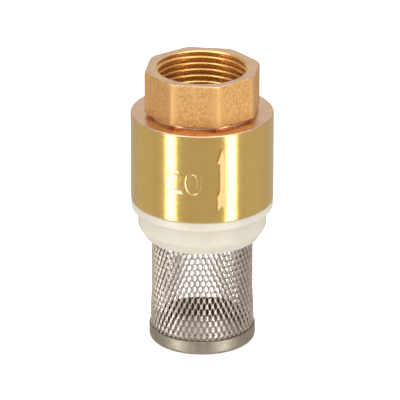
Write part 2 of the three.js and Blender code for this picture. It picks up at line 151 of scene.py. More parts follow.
def rounded(points, steps=5, closed=True):
    """A profile of (r, z) or (r, z, radius) corners, with an arc at each corner that has a radius."""
    result = []
    count = len(points)
    for i, point in enumerate(points):
        here = Vector(point[:2])
        radius = point[2] if len(point) > 2 else 0
        ends = (i == 0 or i == count - 1) and not closed
        if radius == 0 or ends:
            result.append(tuple(here))
            continue
        before = (Vector(points[i - 1][:2]) - here).normalized()
        after = (Vector(points[(i + 1) % count][:2]) - here).normalized()
        half = before.angle(after) / 2
        reach = radius / math.tan(half)
        centre = here + (before + after).normalized() * radius / math.sin(half)
        start, end = here + before * reach - centre, here + after * reach - centre
        sweep = math.atan2(start.x * end.y - start.y * end.x, start.dot(end))
        for k in range(steps + 1):
            turn = sweep * k / steps
            c, s = math.cos(turn), math.sin(turn)
            arm = Vector((start.x * c - start.y * s, start.x * s + start.y * c))
            result.append(tuple(centre + arm))
    return result


def ring_of(bm, r, z, angles):
    """The vertices of one turn of a profile point: a single one on the axis."""
    if r < 1e-6:
        return [bm.verts.new((0, 0, z))]
    return [bm.verts.new((r * math.sin(a), -r * math.cos(a), z)) for a in angles]


def join_rings(bm, low, high):
    """The faces between two turns."""
    n = max(len(low), len(high))
    for i in range(n):
        j = (i + 1) % n
        if len(low) == 1:
            bm.faces.new((low[0], high[j], high[i]))
        elif len(high) == 1:
            bm.faces.new((low[i], low[j], high[0]))
        else:
            bm.faces.new((low[i], low[j], high[j], high[i]))


def turned_mesh(profile, closed=True, segments=ROUND):
    """The bmesh of a turned piece. A profile is a closed loop, or starts and ends on the axis."""
    bm = bmesh.new()
    angles = [2 * math.pi * i / segments for i in range(segments)]
    rings = [ring_of(bm, r, z, angles) for r, z in profile]
    for low, high in zip(rings, rings[1:]):
        join_rings(bm, low, high)
    if closed:
        join_rings(bm, rings[-1], rings[0])
    return bm


def turned(name, points, material, closed=True, segments=ROUND, steps=5):
    """A turned piece, from the corners of its profile."""
    bm = turned_mesh(rounded(points, steps, closed), closed, segments)
    return add_object(name, bm, [material])


def helix_ridge(section, pitch, start_z, end_z, segments=120):
    """A closed ridge that follows a helix. Its section is (r, z offset) points."""
    bm = bmesh.new()
    steps = round((end_z - start_z) / pitch * segments)
    rings = []
    for i in range(steps + 1):
        a = 2 * math.pi * i / segments
        z = start_z + pitch * i / segments
        rings.append([bm.verts.new((r * math.sin(a), -r * math.cos(a), z + dz)) for r, dz in section])
    for low, high in zip(rings, rings[1:]):
        join_rings(bm, low, high)
    bm.faces.new(rings[0])
    bm.faces.new(rings[-1])
    return bm


def cut(target, cutters, operation="DIFFERENCE"):
    """Applies exact booleans to target, and deletes the cutters."""
    for cutter in cutters:
        modifier = target.modifiers.new("cut", "BOOLEAN")
        modifier.operation = operation
        modifier.solver = "EXACT"
        modifier.object = cutter
    apply_modifiers(target)
    for cutter in cutters:
        bpy.data.objects.remove(cutter)
    return target


def apply_modifiers(obj):
    """Replaces the mesh with what its modifiers make of it."""
    depsgraph = bpy.context.evaluated_depsgraph_get()
    depsgraph.update()
    mesh = bpy.data.meshes.new_from_object(obj.evaluated_get(depsgraph))
    obj.modifiers.clear()
    old, obj.data = obj.data, mesh
    bpy.data.meshes.remove(old)


def stand_for(obj, node, body):
    """obj shows in place of a CAD node, and moves with its body."""
    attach(obj, body)
    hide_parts(node)
    return obj


# ---------------------------------------------------------------- material tools


class Shader:
    """A material with one Principled surface, and short ways to add nodes to it."""

    def __init__(self, name, color, metallic, roughness):
        self.material = bpy.data.materials.new(name)
        self.material.use_nodes = True
        self.tree = self.material.node_tree
        self.surface = self.tree.nodes["Principled BSDF"]
        self.set("Base Color", (*color, 1))
        self.set("Metallic", metallic)
        self.set("Roughness", roughness)
        self.material.diffuse_color = (*color, 1)

    def set(self, socket, value):
        self.surface.inputs[socket].default_value = value

    def node(self, kind, **values):
        node = self.tree.nodes.new(kind)
        for key, value in values.items():
            setattr(node, key, value)
        return node

    def link(self, source, target):
        self.tree.links.new(source, target)

    def position(self):
        """Object coordinates, in metres."""
        return self.node("ShaderNodeTexCoord").outputs["Object"]

    def stretched(self, scale):
        """Object coordinates, multiplied axis by axis."""
        mapping = self.node("ShaderNodeMapping")
        mapping.inputs["Scale"].default_value = scale
        self.link(self.position(), mapping.inputs["Vector"])
        return mapping.outputs["Vector"]

    def noise(self, scale, detail=3, roughness=0.5, vector=None):
        node = self.node("ShaderNodeTexNoise")
        node.inputs["Scale"].default_value = scale
        node.inputs["Detail"].default_value = detail
        node.inputs["Roughness"].default_value = roughness
        self.link(vector or self.position(), node.inputs["Vector"])
        return node.outputs["Fac"]

    def math(self, operation, a, b=None):
        node = self.node("ShaderNodeMath", operation=operation)
        for socket, value in zip(node.inputs, (a, b)):
            if isinstance(value, (int, float)):
                socket.default_value = value
            elif value is not None:
                self.link(value, socket)
        return node.outputs[0]

    def ramp(self, value, low, high, to_low=0.0, to_high=1.0):
        """value, spread smoothly from low..high to to_low..to_high."""
        node = self.node("ShaderNodeMapRange", interpolation_type="SMOOTHSTEP")
        for socket, number in zip(("From Min", "From Max", "To Min", "To Max"), (low, high, to_low, to_high)):
            node.inputs[socket].default_value = number
        self.link(value, node.inputs["Value"])
        return node.outputs["Result"]

    def mix(self, factor, a, b):
        """A colour between a and b, each a colour or a socket."""
        node = self.node("ShaderNodeMix", data_type="RGBA")
        self.link(factor, node.inputs["Factor"])
        for socket, value in ((node.inputs[6], a), (node.inputs[7], b)):
            if isinstance(value, tuple):
                socket.default_value = (*value, 1)
            else:
                self.link(value, socket)
        return node.outputs[2]

    def color(self, source):
        self.link(source, self.surface.inputs["Base Color"])

    def roughness(self, source):
        self.link(source, self.surface.inputs["Roughness"])

    def bump(self, height, distance, strength=1.0):
        """Adds a bump of that depth in metres on top of any earlier one."""
        node = self.node("ShaderNodeBump")
        node.inputs["Strength"].default_value = strength
        node.inputs["Distance"].default_value = distance
        self.link(height, node.inputs["Height"])
        earlier = self.surface.inputs["Normal"].links
        if earlier:
            self.link(earlier[0].from_socket, node.inputs["Normal"])
        self.link(node.outputs["Normal"], self.surface.inputs["Normal"])

    def axis_distance(self):
        """Distance from the valve's axis, in metres."""
        separate = self.node("ShaderNodeSeparateXYZ")
        self.link(self.position(), separate.inputs["Vector"])
        squares = [self.math("MULTIPLY", separate.outputs[i], separate.outputs[i]) for i in (0, 1)]
        return self.math("SQRT", self.math("ADD", *squares))


# ---------------------------------------------------------------- materials

BRASS = (0.86, 0.585, 0.19)
BRASS_DEEP = (0.84, 0.56, 0.175)
BLASTED = (0.86, 0.51, 0.20)
BLASTED_DARK = (0.58, 0.325, 0.113)
BLASTED_BRIGHT = (0.80, 0.49, 0.20)
MACHINED = (0.80, 0.535, 0.345)


def polished_brass():
    """Turned and buffed: fine rings round the axis, faint handling marks."""
    s = Shader("brass_polished", BRASS, 1, 0.17)
    s.color(s.mix(s.ramp(s.noise(200, 2), 0.3, 0.75), BRASS, BRASS_DEEP))
    s.roughness(s.ramp(s.noise(1, 3, vector=s.stretched((150, 150, 5000))), 0.3, 0.75, 0.14, 0.2))
    s.bump(s.noise(1, 2, vector=s.stretched((40, 40, 9000))), 1e-6, 0.3)
    return s.material


def blasted_brass():
    """Cast and sand-blasted: an even fine grain, bright where the corners are rubbed."""
    s = Shader("brass_blasted", BLASTED, 1, 0.46)
    grain = s.noise(2600, 5, 0.65)
    mottle = s.ramp(s.noise(1, 4, 0.6, s.stretched((3000, 3000, 1700))), 0.36, 0.66)
    tone = s.mix(mottle, BLASTED, BLASTED_DARK)
    rubbed = s.ramp(s.axis_distance(), 0.01575, 0.0161)
    patchy = s.math("MULTIPLY", rubbed, s.ramp(s.noise(1500, 3), 0.3, 0.6, 0.55, 1.0))
    s.color(s.mix(patchy, tone, BLASTED_BRIGHT))
    s.roughness(s.ramp(grain, 0.3, 0.7, 0.44, 0.6))
    s.bump(grain, 2.2e-4, 0.7)
    return s.material


def machined_brass():
    """Faced on a lathe: fine concentric lines, a pinkish tone."""
    s = Shader("brass_machined", MACHINED, 1, 0.24)
    wave = s.math("SINE", s.math("MULTIPLY", s.axis_distance(), 2 * math.pi / 0.00022))
    s.bump(wave, 1.2e-6, 0.5)
    s.color(s.mix(s.ramp(s.noise(420, 3), 0.35, 0.7), MACHINED, (0.74, 0.47, 0.285)))
    s.roughness(s.ramp(s.noise(2200, 3), 0.3, 0.7, 0.2, 0.3))
    return s.material


def threaded_brass():
    """Cut with a tap: bright, with small blotches in its tone and roughness."""
    s = Shader("brass_threaded", (0.90, 0.55, 0.20), 1, 0.26)
    s.color(s.mix(s.ramp(s.noise(500, 2), 0.35, 0.7), (0.90, 0.56, 0.21), (0.84, 0.50, 0.17)))
    s.roughness(s.ramp(s.noise(1600, 3), 0.3, 0.7, 0.24, 0.32))
    return s.material


def mark_sides_brass_painted_highlight():
    """The sloping sides of a stamped mark: a real surface of their own, painted paler than the drum as a
    highlight along the mark's edges.
    """
    s = Shader("brass_mark_sides_painted_highlight", (0.92, 0.68, 0.32), 1, 0.28)
    s.roughness(s.ramp(s.noise(5000, 3), 0.3, 0.7, 0.24, 0.34))
    return s.material


def white_nylon():
    """Natural moulded nylon: creamy, slightly see-through, with a soft satin skin."""
    s = Shader("nylon_white", (0.86, 0.82, 0.70), 0, 0.38)
    s.set("Subsurface Weight", 0.6)
    s.set("Subsurface Radius", (1.0, 0.75, 0.45))
    s.set("Subsurface Scale", 0.003)
    s.color(s.mix(s.ramp(s.noise(180, 3), 0.35, 0.7), (0.79, 0.74, 0.62), (0.74, 0.69, 0.575)))
    s.roughness(s.ramp(s.noise(1400, 3), 0.3, 0.7, 0.32, 0.46))
    s.bump(s.noise(2600, 3), 1.2e-5, 0.4)
    s.bump(s.noise(240, 2), 6e-5, 0.35)
    return s.material


def moulded_acetal():
    s = Shader("acetal_moulded", (0.80, 0.79, 0.75), 0, 0.42)
    s.color(s.mix(s.ramp(s.noise(500, 3), 0.35, 0.7), (0.82, 0.81, 0.77), (0.74, 0.73, 0.69)))
    s.roughness(s.ramp(s.noise(2400, 3), 0.3, 0.7, 0.36, 0.52))
    s.bump(s.noise(3200, 2), 1e-5, 0.4)
    return s.material


def nitrile_rubber():
    s = Shader("rubber_nitrile", (0.02, 0.02, 0.022), 0, 0.6)
    s.color(s.mix(s.ramp(s.noise(1500, 3), 0.35, 0.7), (0.018, 0.018, 0.02), (0.035, 0.034, 0.034)))
    s.roughness(s.ramp(s.noise(3000, 3), 0.3, 0.7, 0.5, 0.75))
    s.bump(s.noise(5000, 3), 1.5e-5, 0.5)
    return s.material


def steel(name, bright, dull, rough_low, rough_high, grain, lines=None):
    """Stainless steel: two tones, a roughness range, a grain size, and lines along one way."""
    s = Shader(name, bright, 1, (rough_low + rough_high) / 2)
    s.color(s.mix(s.ramp(s.noise(grain, 3), 0.35, 0.7), bright, dull))
    s.roughness(s.ramp(s.noise(grain * 3, 3), 0.3, 0.7, rough_low, rough_high))
    if lines:
        s.bump(s.noise(1, 2, vector=s.stretched(lines)), 2e-6, 0.6)
    else:
        s.bump(s.noise(grain * 4, 2), 4e-6, 0.5)
    return s.material


BRASS_POLISHED = polished_brass()
BRASS_BLASTED = blasted_brass()
BRASS_MACHINED = machined_brass()
BRASS_THREADED = threaded_brass()
BRASS_MARK_SIDES_PAINTED_HIGHLIGHT = mark_sides_brass_painted_highlight()
NYLON = white_nylon()
ACETAL = moulded_acetal()
RUBBER = nitrile_rubber()
MESH_STEEL = steel("steel_mesh", (0.84, 0.75, 0.66), (0.68, 0.60, 0.53), 0.38, 0.52, 1500)
CUP_STEEL = steel("steel_cup", (0.40, 0.35, 0.265), (0.34, 0.30, 0.235), 0.42, 0.52, 600, (150, 150, 6000))
# painted light: a pale steel, far lighter than the cup's outside, for the cup's inside so that its floor
# looks lit through the mesh, and for the hoops' outsides as the lit copy of their dark insides
STEEL_PAINTED_LIGHT = steel("steel_painted_light", (0.86, 0.76, 0.70), (0.74, 0.65, 0.60), 0.5, 0.64, 900)
# painted shade: a dark steel for the hoops' inner faces and ends, standing in for the shade inside the
# strainer
STEEL_PAINTED_SHADE = steel("steel_hoop_painted_shade", (0.20, 0.16, 0.13), (0.12, 0.09, 0.07), 0.35, 0.5, 1200, (150, 150, 6000))
BAR_STEEL = steel("steel_bar", (0.68, 0.67, 0.65), (0.58, 0.57, 0.55), 0.2, 0.32, 900, (200, 200, 9000))
WIRE_STEEL = steel("steel_wire", (0.60, 0.60, 0.60), (0.48, 0.47, 0.46), 0.22, 0.36, 1400)


# ---------------------------------------------------------------- brass body

CORNER_STEPS = 8
FLAT_STEPS = 22
EIGHTH = math.pi / 4
HALF_FLAT = OCTAGON_FLATS / 2
CORNER_CENTRE = (HALF_FLAT - OCTAGON_CORNER_ROUND) / math.cos(EIGHTH / 2)
CORNER_HALF_TURN = math.atan(
    OCTAGON_CORNER_ROUND * math.sin(EIGHTH / 2)
    / (CORNER_CENTRE + OCTAGON_CORNER_ROUND * math.cos(EIGHTH / 2))
)


def octagon_angles():
    """Angles round the axis, close together at the octagon's corners."""
    angles = []
    for corner in range(8):
        middle = EIGHTH * (corner + 0.5)
        for i in range(CORNER_STEPS):
            angles.append(middle + CORNER_HALF_TURN * (2 * i / CORNER_STEPS - 1))
        start, width = middle + CORNER_HALF_TURN, EIGHTH - 2 * CORNER_HALF_TURN
        for i in range(FLAT_STEPS):
            angles.append(start + width * i / FLAT_STEPS)
    return angles


def octagon_radius(angle):
    """Radius of the octagon's outline, with its rounded corners."""
    from_corner = (angle % EIGHTH) - EIGHTH / 2
    if abs(from_corner) > CORNER_HALF_TURN:
        from_flat = abs(from_corner) - EIGHTH / 2
        return HALF_FLAT / math.cos(from_flat)
    across = CORNER_CENTRE * math.sin(from_corner)
    return CORNER_CENTRE * math.cos(from_corner) + math.sqrt(OCTAGON_CORNER_ROUND**2 - across**2)


def body_shell():
    """The whole body as one grid round the axis, before its thread and its marks are cut."""
    angles = octagon_angles()
    outline = [octagon_radius(a) for a in angles]
    bottom = DRUM_BOTTOM
    thread_r, joint_top = 17.4, 49.2
    mouth = PIPE_MOUTH_R - PIPE_MINOR_R
    drum = rounded(
        [
            (17.9, bottom),
            (DRUM_R, bottom, 0.25),
            (DRUM_R, DRUM_TOP, 0.55),
            (NECK_R, DRUM_TOP, 0.3),
            (NECK_R, OCTAGON_BOTTOM - 0.45),
        ],
        closed=False,
    )
    inside = rounded(
        [
            (TOP_FACE_R - 1.5, TOP),
            (PIPE_MOUTH_R, TOP, 0.12),
            (PIPE_MINOR_R, TOP - mouth),
            (PIPE_MINOR_R, SOCKET_FLOOR + 2.7),
            (PIPE_RELIEF_R, SOCKET_FLOOR + 1.9),
            (PIPE_RELIEF_R, SOCKET_FLOOR, 0.4),
            (OUTLET_R, SOCKET_FLOOR, 0.3),
            (OUTLET_R, 65.3, 0.6),
            (14.4, CHAMBER_TOP, 0.3),
            (CHAMBER_R, CHAMBER_TOP, 0.2),
            (CHAMBER_R, joint_top),
            (thread_r, joint_top),
            (thread_r, 44.95),
            (17.9, 44.4),
        ],
        closed=False,
    )
    bm = bmesh.new()
    rings = [ring_of(bm, r, z, angles) for r, z in drum]

    def outline_ring(radius, height):
        """One turn that follows the octagon: radius and height are functions of its outline radius."""
        return [
            bm.verts.new((radius(r) * math.sin(a), -radius(r) * math.cos(a), height(r)))
            for a, r in zip(angles, outline)
        ]

    def turned_off(r):
        """Height of the head's top at a radius: a shallow cone takes its corners down."""
        return TOP - max(0, r - TOP_FACE_R) * TOP_CHAMFER_SLOPE

    edge = 0.15
    rings.append(outline_ring(lambda r: r - edge, lambda r: OCTAGON_BOTTOM))
    rings.append(outline_ring(lambda r: r, lambda r: OCTAGON_BOTTOM + edge))
    for i in range(TOP_EDGE_STEPS + 1):
        turn = math.pi / 2 * i / TOP_EDGE_STEPS
        inset = TOP_EDGE_ROUND * (1 - math.cos(turn))
        drop = TOP_EDGE_ROUND * (1 - math.sin(turn))
        rings.append(outline_ring(lambda r: r - inset, lambda r: turned_off(r - inset) - drop))
    rings.append(outline_ring(lambda r: min(r - TOP_EDGE_ROUND - 0.05, TOP_FACE_R), lambda r: TOP))
    rings += [ring_of(bm, r, z, angles) for r, z in inside]
    for low, high in zip(rings, rings[1:] + rings[:1]):
        join_rings(bm, low, high)
    return bm


def pipe_thread_cutter():
    """The groove of the pipe thread, with a rounded root."""
    flank = math.tan(math.radians(27.5))
    root_r = PIPE_MINOR_R - 0.3
    tip = 0.16
    shoulder = PIPE_MAJOR_R - 0.14
    crest_r = PIPE_MINOR_R + 0.2
    crest = tip + (PIPE_MAJOR_R - crest_r) * flank
    upper_side = [
        (PIPE_MAJOR_R, tip * 0.45),
        (shoulder, tip + 0.07),
        (crest_r, crest),
        (crest_r - 0.12, crest + 0.09),
        (PIPE_MINOR_R, crest + 0.2),
        (root_r, crest + 0.2 + 0.3),
    ]
    section = [(r, -z) for r, z in reversed(upper_side)] + upper_side
    return helix_ridge(section, PIPE_PITCH, SOCKET_FLOOR + 1.1, TOP + 0.4)


MARK_DEPTH = 0.17
MARK_SIDE = 0.22  # width of a mark's sloping side
MARK_LEAN = 0.84  # depth of that side for each unit of its width
CUTTER_ABOVE = 1.0  # how far a mark's cutter stands out of the drum
CUTTER_STEP = 0.01  # how far above the drum its sides turn upright
ARROW_ANGLE = math.radians(23)
ARROW_BOTTOM, ARROW_TOP = 46.2, 63.7
NUMBER_ANGLE = math.radians(-7)
NUMBER_BOTTOM = 50.6
NUMBER_SIZE = 9.6


def on_drum(x, up, out, angle, bottom):
    """A place on the drum: x along its wall, up from bottom, out of its surface."""
    turn = angle + x / DRUM_R
    return ((DRUM_R + out) * math.sin(turn), -(DRUM_R + out) * math.cos(turn), bottom + up)


def widened(outline, side):
    """A counter-clockwise outline, moved outwards by side."""
    result = []
    for i, point in enumerate(outline):
        here = Vector(point)
        before = (here - Vector(outline[i - 1])).normalized()
        after = (Vector(outline[(i + 1) % len(outline)]) - here).normalized()
        first, second = Vector((before.y, -before.x)), Vector((after.y, -after.x))
        result.append(tuple(here + (first + second) * side / (1 + first.dot(second))))
    return result


def arrow_cutter():
    """A solid arrow with a notched tail, which points the way the water flows and narrows to a flat floor."""
    length = ARROW_TOP - ARROW_BOTTOM
    head_half, shaft_half = 0.95, 0.33
    head_bottom, tail_top = length - 3.7, 4.0
    half = [
        (0, 1.6),
        (head_half, 0.4),
        (head_half, tail_top),
        (shaft_half, tail_top + 1),
        (shaft_half, head_bottom),
        (head_half, head_bottom),
        (0, length - 0.7),
    ]
    outline = half + [(-x, y) for x, y in reversed(half[1:-1])]
    rim = widened(outline, MARK_SIDE)
    bm = bmesh.new()
    rings = [
        [bm.verts.new(on_drum(x, up, out, ARROW_ANGLE, ARROW_BOTTOM)) for x, up in points]
        for points, out in ((outline, -MARK_DEPTH), (rim, CUTTER_STEP), (rim, CUTTER_ABOVE))
    ]
    for low, high in zip(rings, rings[1:]):
        join_rings(bm, low, high)
    bm.faces.new(rings[0])
    bm.faces.new(rings[-1])
    return add_object("arrow_mark", bm, [], smooth=False)


def number_cutter():
    """A solid of the nominal bore in millimetres, as plain figures that narrow to a flat floor."""
    text = bpy.data.curves.new("number_mark", "FONT")
    text.body = "20"
    text.size = NUMBER_SIZE
    text.resolution_u = 5
    text.align_x = "CENTER"
    text.space_character = 1.1
    text.extrude = (CUTTER_ABOVE + MARK_DEPTH) / MARK_LEAN / 2 - MARK_SIDE
    text.bevel_depth = MARK_SIDE
    text.bevel_resolution = 0
    drawing = bpy.data.objects.new("number_drawing", text)
    bpy.context.scene.collection.objects.link(drawing)
    depsgraph = bpy.context.evaluated_depsgraph_get()
    mesh = bpy.data.meshes.new_from_object(drawing.evaluated_get(depsgraph))
    bm = bmesh.new()
    bm.from_mesh(mesh)
    bmesh.ops.remove_doubles(bm, verts=bm.verts, dist=1e-4)
    for v in bm.verts:
        out = v.co.z * MARK_LEAN + (CUTTER_ABOVE - MARK_DEPTH) / 2
        v.co = on_drum(v.co.x, v.co.y, out, NUMBER_ANGLE, NUMBER_BOTTOM)
    bpy.data.objects.remove(drawing)
    bpy.data.curves.remove(text)
    bpy.data.meshes.remove(mesh)
    return add_object("number_mark", bm, [], smooth=False)


BODY_FINISHES = [BRASS_POLISHED, BRASS_BLASTED, BRASS_MACHINED, BRASS_THREADED, BRASS_MARK_SIDES_PAINTED_HIGHLIGHT]
POLISHED, AS_BLASTED, FACED, TAPPED, MARK_SIDES_PAINTED_HIGHLIGHT = range(len(BODY_FINISHES))


def body_finish(centre, normal):
    """Index in BODY_FINISHES of the finish at a place on the body, given in millimetres."""
    r = math.hypot(centre.x, centre.y)
    outwards = (centre.x * normal.x + centre.y * normal.y) / max(r, 1e-9)
    if centre.z > OCTAGON_BOTTOM - 0.05 and r > HALF_FLAT - 0.3 and outwards > 0.6:
        return AS_BLASTED
    if centre.z > SOCKET_FLOOR + 0.05 and r < PIPE_RELIEF_R + 0.1:
        return TAPPED
    if normal.z > 0.3 or centre.z > DRUM_TOP - 0.05:
        return FACED
    if centre.z < DRUM_TOP and r > DRUM_R - MARK_DEPTH - 0.05:
        # The sides of the marks get the paler brass, a painted highlight along their edges.
        return POLISHED if outwards > 0.95 else MARK_SIDES_PAINTED_HIGHLIGHT
    return FACED


def keep_round(mesh):
    """Gives the drum's polished wall a true cylinder's normals, so that the marks don't dent its gloss."""
    normals = [Vector()] * len(mesh.loops)
    for polygon in mesh.polygons:
        if polygon.material_index != POLISHED or abs(polygon.normal.z) > 0.05:
            continue
        for loop in polygon.loop_indices:
            co = mesh.vertices[mesh.loops[loop].vertex_index].co
            normals[loop] = Vector((co.x, co.y, 0)).normalized()
    mesh.normals_split_custom_set([tuple(n) for n in normals])


def make_body():
    body = add_object("brass_body", body_shell(), [])
    # Known fault: in this order the arrow comes out raised by CUTTER_ABOVE, and not cut in as the number is.
    # With the two marks before the thread it is cut in.
    cutters = [
        add_object("thread_groove", pipe_thread_cutter(), [], smooth=False),
        arrow_cutter(),
        number_cutter(),
    ]
    cut(body, cutters)
    mesh = body.data
    mesh.materials.clear()
    for material in BODY_FINISHES:
        mesh.materials.append(material)
    for polygon in mesh.polygons:
        polygon.material_index = body_finish(polygon.center / MM, polygon.normal)
    mesh.shade_smooth()
    mesh.set_sharp_from_angle(angle=SMOOTH_BELOW)
    keep_round(mesh)
    return stand_for(body, "valve_body", "housing")


# ---------------------------------------------------------------- collar, seals and seat


def make_collar():
    low = COLLAR_LOW.z
    flange_r = COLLAR_HIGH.x
    flange_top, flange_bottom = DRUM_BOTTOM - 0.1, 39.2
    band_r, band_bottom = 17.85, 34.2
    land_r, spigot_r = 16.2, 17.3
    points = [
        (14.2, low, 0.2),
        (16.0, low, 0.3),
        (band_r, band_bottom, 0.9),
        (band_r, flange_bottom, 0.8),
        (flange_r, flange_bottom, 0.8),
        (flange_r, flange_top, 0.18),
        (land_r, flange_top, 0.1),
        (land_r, 44.0),
        (spigot_r, 45.1),
        (spigot_r, 48.4),
        (spigot_r - 0.5, COLLAR_HIGH.z),
        (14.4, COLLAR_HIGH.z, 0.1),
        (14.4, 39.9),
        (11.8, 39.9, 0.15),
        (11.8, 35.7, 0.15),
        (14.2, 35.7),
    ]
    return stand_for(turned("nylon_collar", points, NYLON), "strainer_collar", "housing")


def make_o_ring(name, node):
    low, high = cad_box(node)
    section_r = (high.z - low.z) / 2
    middle_r, middle_z = high.x - section_r, (high.z + low.z) / 2
    turns = [2 * math.pi * i / 16 for i in range(16)]
    points = [(middle_r + section_r * math.cos(t), middle_z + section_r * math.sin(t)) for t in turns]
    return stand_for(turned(name, points, RUBBER), node, "housing")


def arm_block(reach, width, bottom, top, turn, inner=0.0):
    """A straight arm from the axis outwards."""
    bm = bmesh.new()
    bmesh.ops.create_cube(bm, size=1)
    for v in bm.verts:
        along, up = v.co.x + 0.5, v.co.z + 0.5
        v.co = (inner + along * (reach - inner), v.co.y * width, bottom + up * (top - bottom))
    bmesh.ops.bevel(bm, geom=bm.edges, offset=0.25, segments=3, affect="EDGES", profile=0.5)
    bmesh.ops.rotate(bm, verts=bm.verts, cent=(0, 0, 0), matrix=Matrix.Rotation(turn, 3, "Z"))
    return add_object("arm", bm, [], smooth=False)


def guide_with_arms(name, rim, hub, arms, material):
    """A rim and a hub joined by arms. The hub is a ring, so its bore stays open."""
    obj = turned(name, rim, material)
    bore_r = min(point[0] for point in hub)
    bottom, top = min(point[1] for point in hub), max(point[1] for point in hub)
    low, high = bottom - 1, top + 1
    solid_hub = [(0, bottom), *[point for point in hub if point[0] > bore_r], (0, top)]
    pieces = [turned("hub", solid_hub, material, closed=False), *arms]
    cut(obj, pieces, "UNION")
    bore = turned("bore", [(0, low), (bore_r, low), (bore_r, high), (0, high)], material, closed=False)
    cut(obj, [bore])
    obj.data.materials.clear()
    obj.data.materials.append(material)
    obj.data.shade_smooth()
    obj.data.set_sharp_from_angle(angle=SMOOTH_BELOW)
    return obj


STEM_R = 2.0
GUIDE_BORE_R = STEM_R + 0.15
CLAMPED_BORE_R = STEM_R + 0.1  # bore of the pieces that the stem carries


def make_seat_ring():
    bottom, lip_top = 40.0, SEAT_HIGH.z
    outer_r, bore_r = SEAT_HIGH.x, 9.8
    hub_bottom, hub_top, hub_r = SEAT_LOW.z, 39.9, 3.6
    rim = [
        (bore_r, bottom, 0.2),
        (outer_r, bottom, 0.2),
        (outer_r, 40.85, 0.1),
        (13.0, 40.85, 0.15),
        (13.0, 42.35, 0.15),
        (outer_r, 42.35, 0.1),
        (outer_r, 43.3, 0.15),
        (11.4, 43.3, 0.2),
        (11.0, lip_top, 0.15),
        (10.4, lip_top, 0.15),
        (bore_r, 43.7, 0.2),
    ]
    hub = [
        (GUIDE_BORE_R, hub_bottom),
        (hub_r - 0.8, hub_bottom, 0.2),
        (hub_r, hub_bottom + 1.2, 0.4),
        (hub_r, hub_top, 0.3),
        (GUIDE_BORE_R, hub_top),
    ]
    arms = []
    for i in range(3):
        turn = math.pi / 2 + 2 * math.pi * i / 3
        arms.append(arm_block(bore_r + 1.2, 1.9, 37.8, hub_top - 0.15, turn))
        arms.append(arm_block(bore_r + 1.2, 1.9, 38.6, bottom + 0.65, turn, inner=bore_r - 0.3))
    seat = guide_with_arms("brass_seat", rim, hub, arms, BRASS_MACHINED)
    return stand_for(seat, "seat_ring", "housing")


def make_guide_spider():
    bottom, top = 58.7, 61.0
    outer_r = SPIDER_HIGH.x
    rim = [(14.3, bottom, 0.25), (outer_r, bottom, 0.25), (outer_r, top, 0.25), (14.3, top, 0.25)]
    hub = [
        (GUIDE_BORE_R, SPIDER_LOW.z),
        (3.6, SPIDER_LOW.z, 0.3),
        (3.6, bottom, 0.2),
        (6.2, bottom, 0.25),
        (6.2, bottom + 1.1, 0.25),
        (3.6, bottom + 1.1, 0.3),
        (3.6, SPIDER_HIGH.z - 0.8, 0.3),
        (2.8, SPIDER_HIGH.z, 0.2),
        (GUIDE_BORE_R, SPIDER_HIGH.z),
    ]
    arms = [
        arm_block(15.2, 1.9, bottom + 0.05, top - 0.1, math.pi / 4 + math.pi / 2 * i) for i in range(4)
    ]
    spider = guide_with_arms("acetal_guide", rim, hub, arms, ACETAL)
    return stand_for(spider, "guide_spider", "housing")


# ---------------------------------------------------------------- poppet


def make_poppet():
    plate_top = PLATE_HIGH.z - 1.7
    bore_r = CLAMPED_BORE_R
    collar_r = STEM_HIGH.x
    stem = [
        (0, STEM_LOW.z),
        (STEM_R, STEM_LOW.z, 0.4),
        (STEM_R, plate_top + 0.1, 0.1),
        (collar_r, plate_top + 0.1, 0.15),
        (collar_r, PLATE_HIGH.z, 0.25),
        (STEM_R, PLATE_HIGH.z, 0.2),
        (STEM_R, STEM_HIGH.z, 0.5),
        (0, STEM_HIGH.z),
    ]
    plate_r = PLATE_HIGH.x
    plate = [
        (bore_r, PLATE_LOW.z, 0.1),
        (plate_r, PLATE_LOW.z, 0.3),
        (plate_r, PLATE_LOW.z + 1.2, 0.3),
        (plate_r - 1.2, plate_top, 0.4),
        (4.4, plate_top, 0.3),
        (4.4, PLATE_HIGH.z, 0.3),
        (collar_r + 0.1, PLATE_HIGH.z, 0.15),
        (collar_r + 0.1, plate_top),
        (bore_r, plate_top),
    ]
    seal = [
        (5.9, SEAL_LOW.z, 0.2),
        (SEAL_HIGH.x, SEAL_LOW.z, 0.3),
        (SEAL_HIGH.x, SEAL_HIGH.z, 0.3),
        (5.9, SEAL_HIGH.z, 0.2),
    ]
    rim_top = RETAINER_LOW.z + 1
    retainer = [
        (bore_r, RETAINER_LOW.z, 0.1),
        (RETAINER_HIGH.x, RETAINER_LOW.z, 0.4),
        (RETAINER_HIGH.x, rim_top, 0.15),
        (5.8, rim_top, 0.1),
        (5.8, RETAINER_HIGH.z, 0.2),
        (bore_r, RETAINER_HIGH.z, 0.1),
    ]
    washer = [
        (bore_r, WASHER_LOW.z, 0.1),
        (WASHER_HIGH.x, WASHER_LOW.z, 0.15),
        (WASHER_HIGH.x, WASHER_HIGH.z, 0.15),
        (bore_r, WASHER_HIGH.z, 0.1),
    ]
    turnings = [
        ("steel_stem", "poppet_stem", stem, BAR_STEEL, "stainless_bar", False),
        ("acetal_plate", "poppet_plate", plate, ACETAL, "acetal", True),
        ("rubber_seal", "poppet_seal", seal, RUBBER, "nitrile_rubber", True),
        ("steel_retainer", "poppet_retainer", retainer, BAR_STEEL, "stainless_bar", True),
        ("steel_washer", "lock_washer", washer, BAR_STEEL, "stainless_bar", True),
    ]
    for name, node, points, material, slot, closed in turnings:
        stand_for(turned(name, points, material, closed=closed), node, "poppet")


